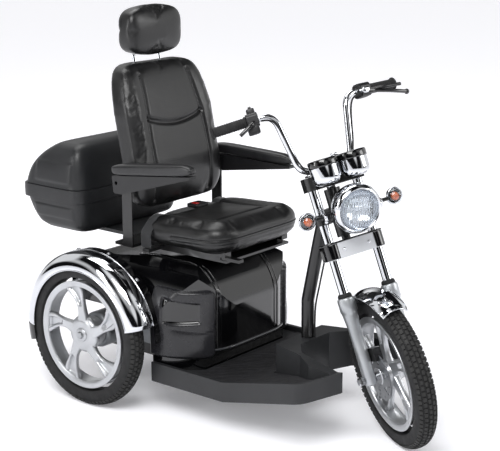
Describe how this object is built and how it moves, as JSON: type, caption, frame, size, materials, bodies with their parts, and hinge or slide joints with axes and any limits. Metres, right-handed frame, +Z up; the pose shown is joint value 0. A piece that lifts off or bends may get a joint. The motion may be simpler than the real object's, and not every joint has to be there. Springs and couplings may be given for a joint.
{
  "type": "three-wheel mobility scooter",
  "caption": "Three-wheel electric scooter in chopper style with a raked chrome fork, padded swivel chair, footboard and rear luggage case.",
  "frame": {"origin": "on the floor, under the middle of the whole vehicle", "axes": "+X to the rider's left, -Y forward, +Z up"},
  "size_m": [0.798, 1.6463, 1.323],
  "materials": {
    "alloy": "silver painted casting",
    "tyre": "matt",
    "steel": "brushed",
    "chrome": "mirror bright",
    "black_paint": "satin",
    "silver_paint": "satin",
    "clear": "clear",
    "rubber": "matt",
    "black_plastic": "satin",
    "dark_plastic": "satin",
    "gloss_black": "high gloss",
    "cast_grey": "cast",
    "red_lens": "gloss",
    "black_leather": "grained",
    "webbing": "woven",
    "black_foam": "soft skin",
    "case_plastic": "fine grain"
  },
  "bodies": {
    "chassis": {"chassis_frame": "black_paint", "frame_lead": "rubber", "footboard": "dark_plastic", "floor_mat": "rubber", "body_shroud": "gloss_black", "side_cover_left": "dark_plastic", "side_cover_right": "dark_plastic", "rear_fender_left": "chrome", "rear_fender_right": "chrome", "inner_fender_left": "gloss_black", "inner_fender_right": "gloss_black", "transaxle": "cast_grey", "rear_lamp": "red_lens"},
    "steering": {"fork_slider_left": "alloy", "fork_slider_right": "alloy", "fork_tube_left": "chrome", "fork_tube_right": "chrome", "fork_yokes": "black_paint", "yoke_cover": "silver_paint", "brake_caliper": "black_paint", "front_axle": "steel", "front_fender": "chrome", "headlamp_shell": "chrome", "headlamp_lens": "clear", "lamp_bracket": "black_paint", "turn_signal_left": "clear", "turn_signal_right": "clear", "dial_housing": "chrome", "handlebar": "chrome", "grip_left": "rubber", "grip_right": "rubber", "control_left": "black_plastic", "control_right": "black_plastic", "control_lead_left": "rubber", "control_lead_right": "rubber"},
    "front_wheel": {"front_rim": "alloy", "front_tyre": "tyre", "brake_disc": "steel"},
    "rear_wheel_left": {"rear_rim_left": "alloy", "rear_tyre_left": "tyre"},
    "rear_wheel_right": {"rear_rim_right": "alloy", "rear_tyre_right": "tyre"},
    "seat": {"seat_frame": "black_paint", "seat_cushion": "black_leather", "lap_belt": "webbing", "case_plate": "black_plastic", "case_tub": "case_plastic"},
    "seat_back": {"backrest": "black_leather"},
    "head_support": {"headrest": "black_leather", "headrest_posts": "chrome"},
    "arm_left": {"armrest_panel_left": "dark_plastic", "armrest_pad_left": "black_foam"},
    "arm_right": {"armrest_panel_right": "dark_plastic", "armrest_pad_right": "black_foam"},
    "luggage_lid": {"case_lid": "case_plastic"}
  },
  "joints": [
    {"name": "steering_turn", "type": "hinge", "parent": "chassis", "child": "steering", "pos_m": [0, -0.571, 0.23339], "axis": [0, 0.3681, 0.9298], "range_deg": [-6, 69]},
    {"name": "front_wheel_spin", "type": "hinge", "parent": "steering", "child": "front_wheel", "pos_m": [-0.02097, -0.60245, 0.24584], "axis": [0.8499, -0.49, 0.194], "continuous": true},
    {"name": "rear_wheel_left_spin", "type": "hinge", "parent": "chassis", "child": "rear_wheel_left", "pos_m": [0.358, 0.398, 0.25], "axis": [1, 0, 0], "continuous": true},
    {"name": "rear_wheel_right_spin", "type": "hinge", "parent": "chassis", "child": "rear_wheel_right", "pos_m": [-0.358, 0.398, 0.25], "axis": [1, 0, 0], "continuous": true},
    {"name": "seat_swivel", "type": "hinge", "parent": "chassis", "child": "seat", "pos_m": [0, 0.095, 0.529], "axis": [0, 0, 1], "range_deg": [-45, 45]},
    {"name": "backrest_fold", "type": "hinge", "parent": "seat", "child": "seat_back", "pos_m": [0, 0.33, 0.69], "axis": [1, 0, 0], "range_deg": [0, 60]},
    {"name": "headrest_height", "type": "slide", "parent": "seat_back", "child": "head_support", "axis": [0, 0.1564, 0.9877], "range_m": [0, 0.05]},
    {"name": "armrest_left_flip", "type": "hinge", "parent": "seat", "child": "arm_left", "pos_m": [0.256, 0.328, 0.762], "axis": [-1, 0, 0], "range_deg": [0, 90]},
    {"name": "armrest_right_flip", "type": "hinge", "parent": "seat", "child": "arm_right", "pos_m": [-0.256, 0.328, 0.762], "axis": [-1, 0, 0], "range_deg": [0, 82]},
    {"name": "case_lid_open", "type": "hinge", "parent": "seat", "child": "luggage_lid", "pos_m": [0, 0.52, 0.7002], "axis": [1, 0, 0], "range_deg": [0, 50]}
  ]
}
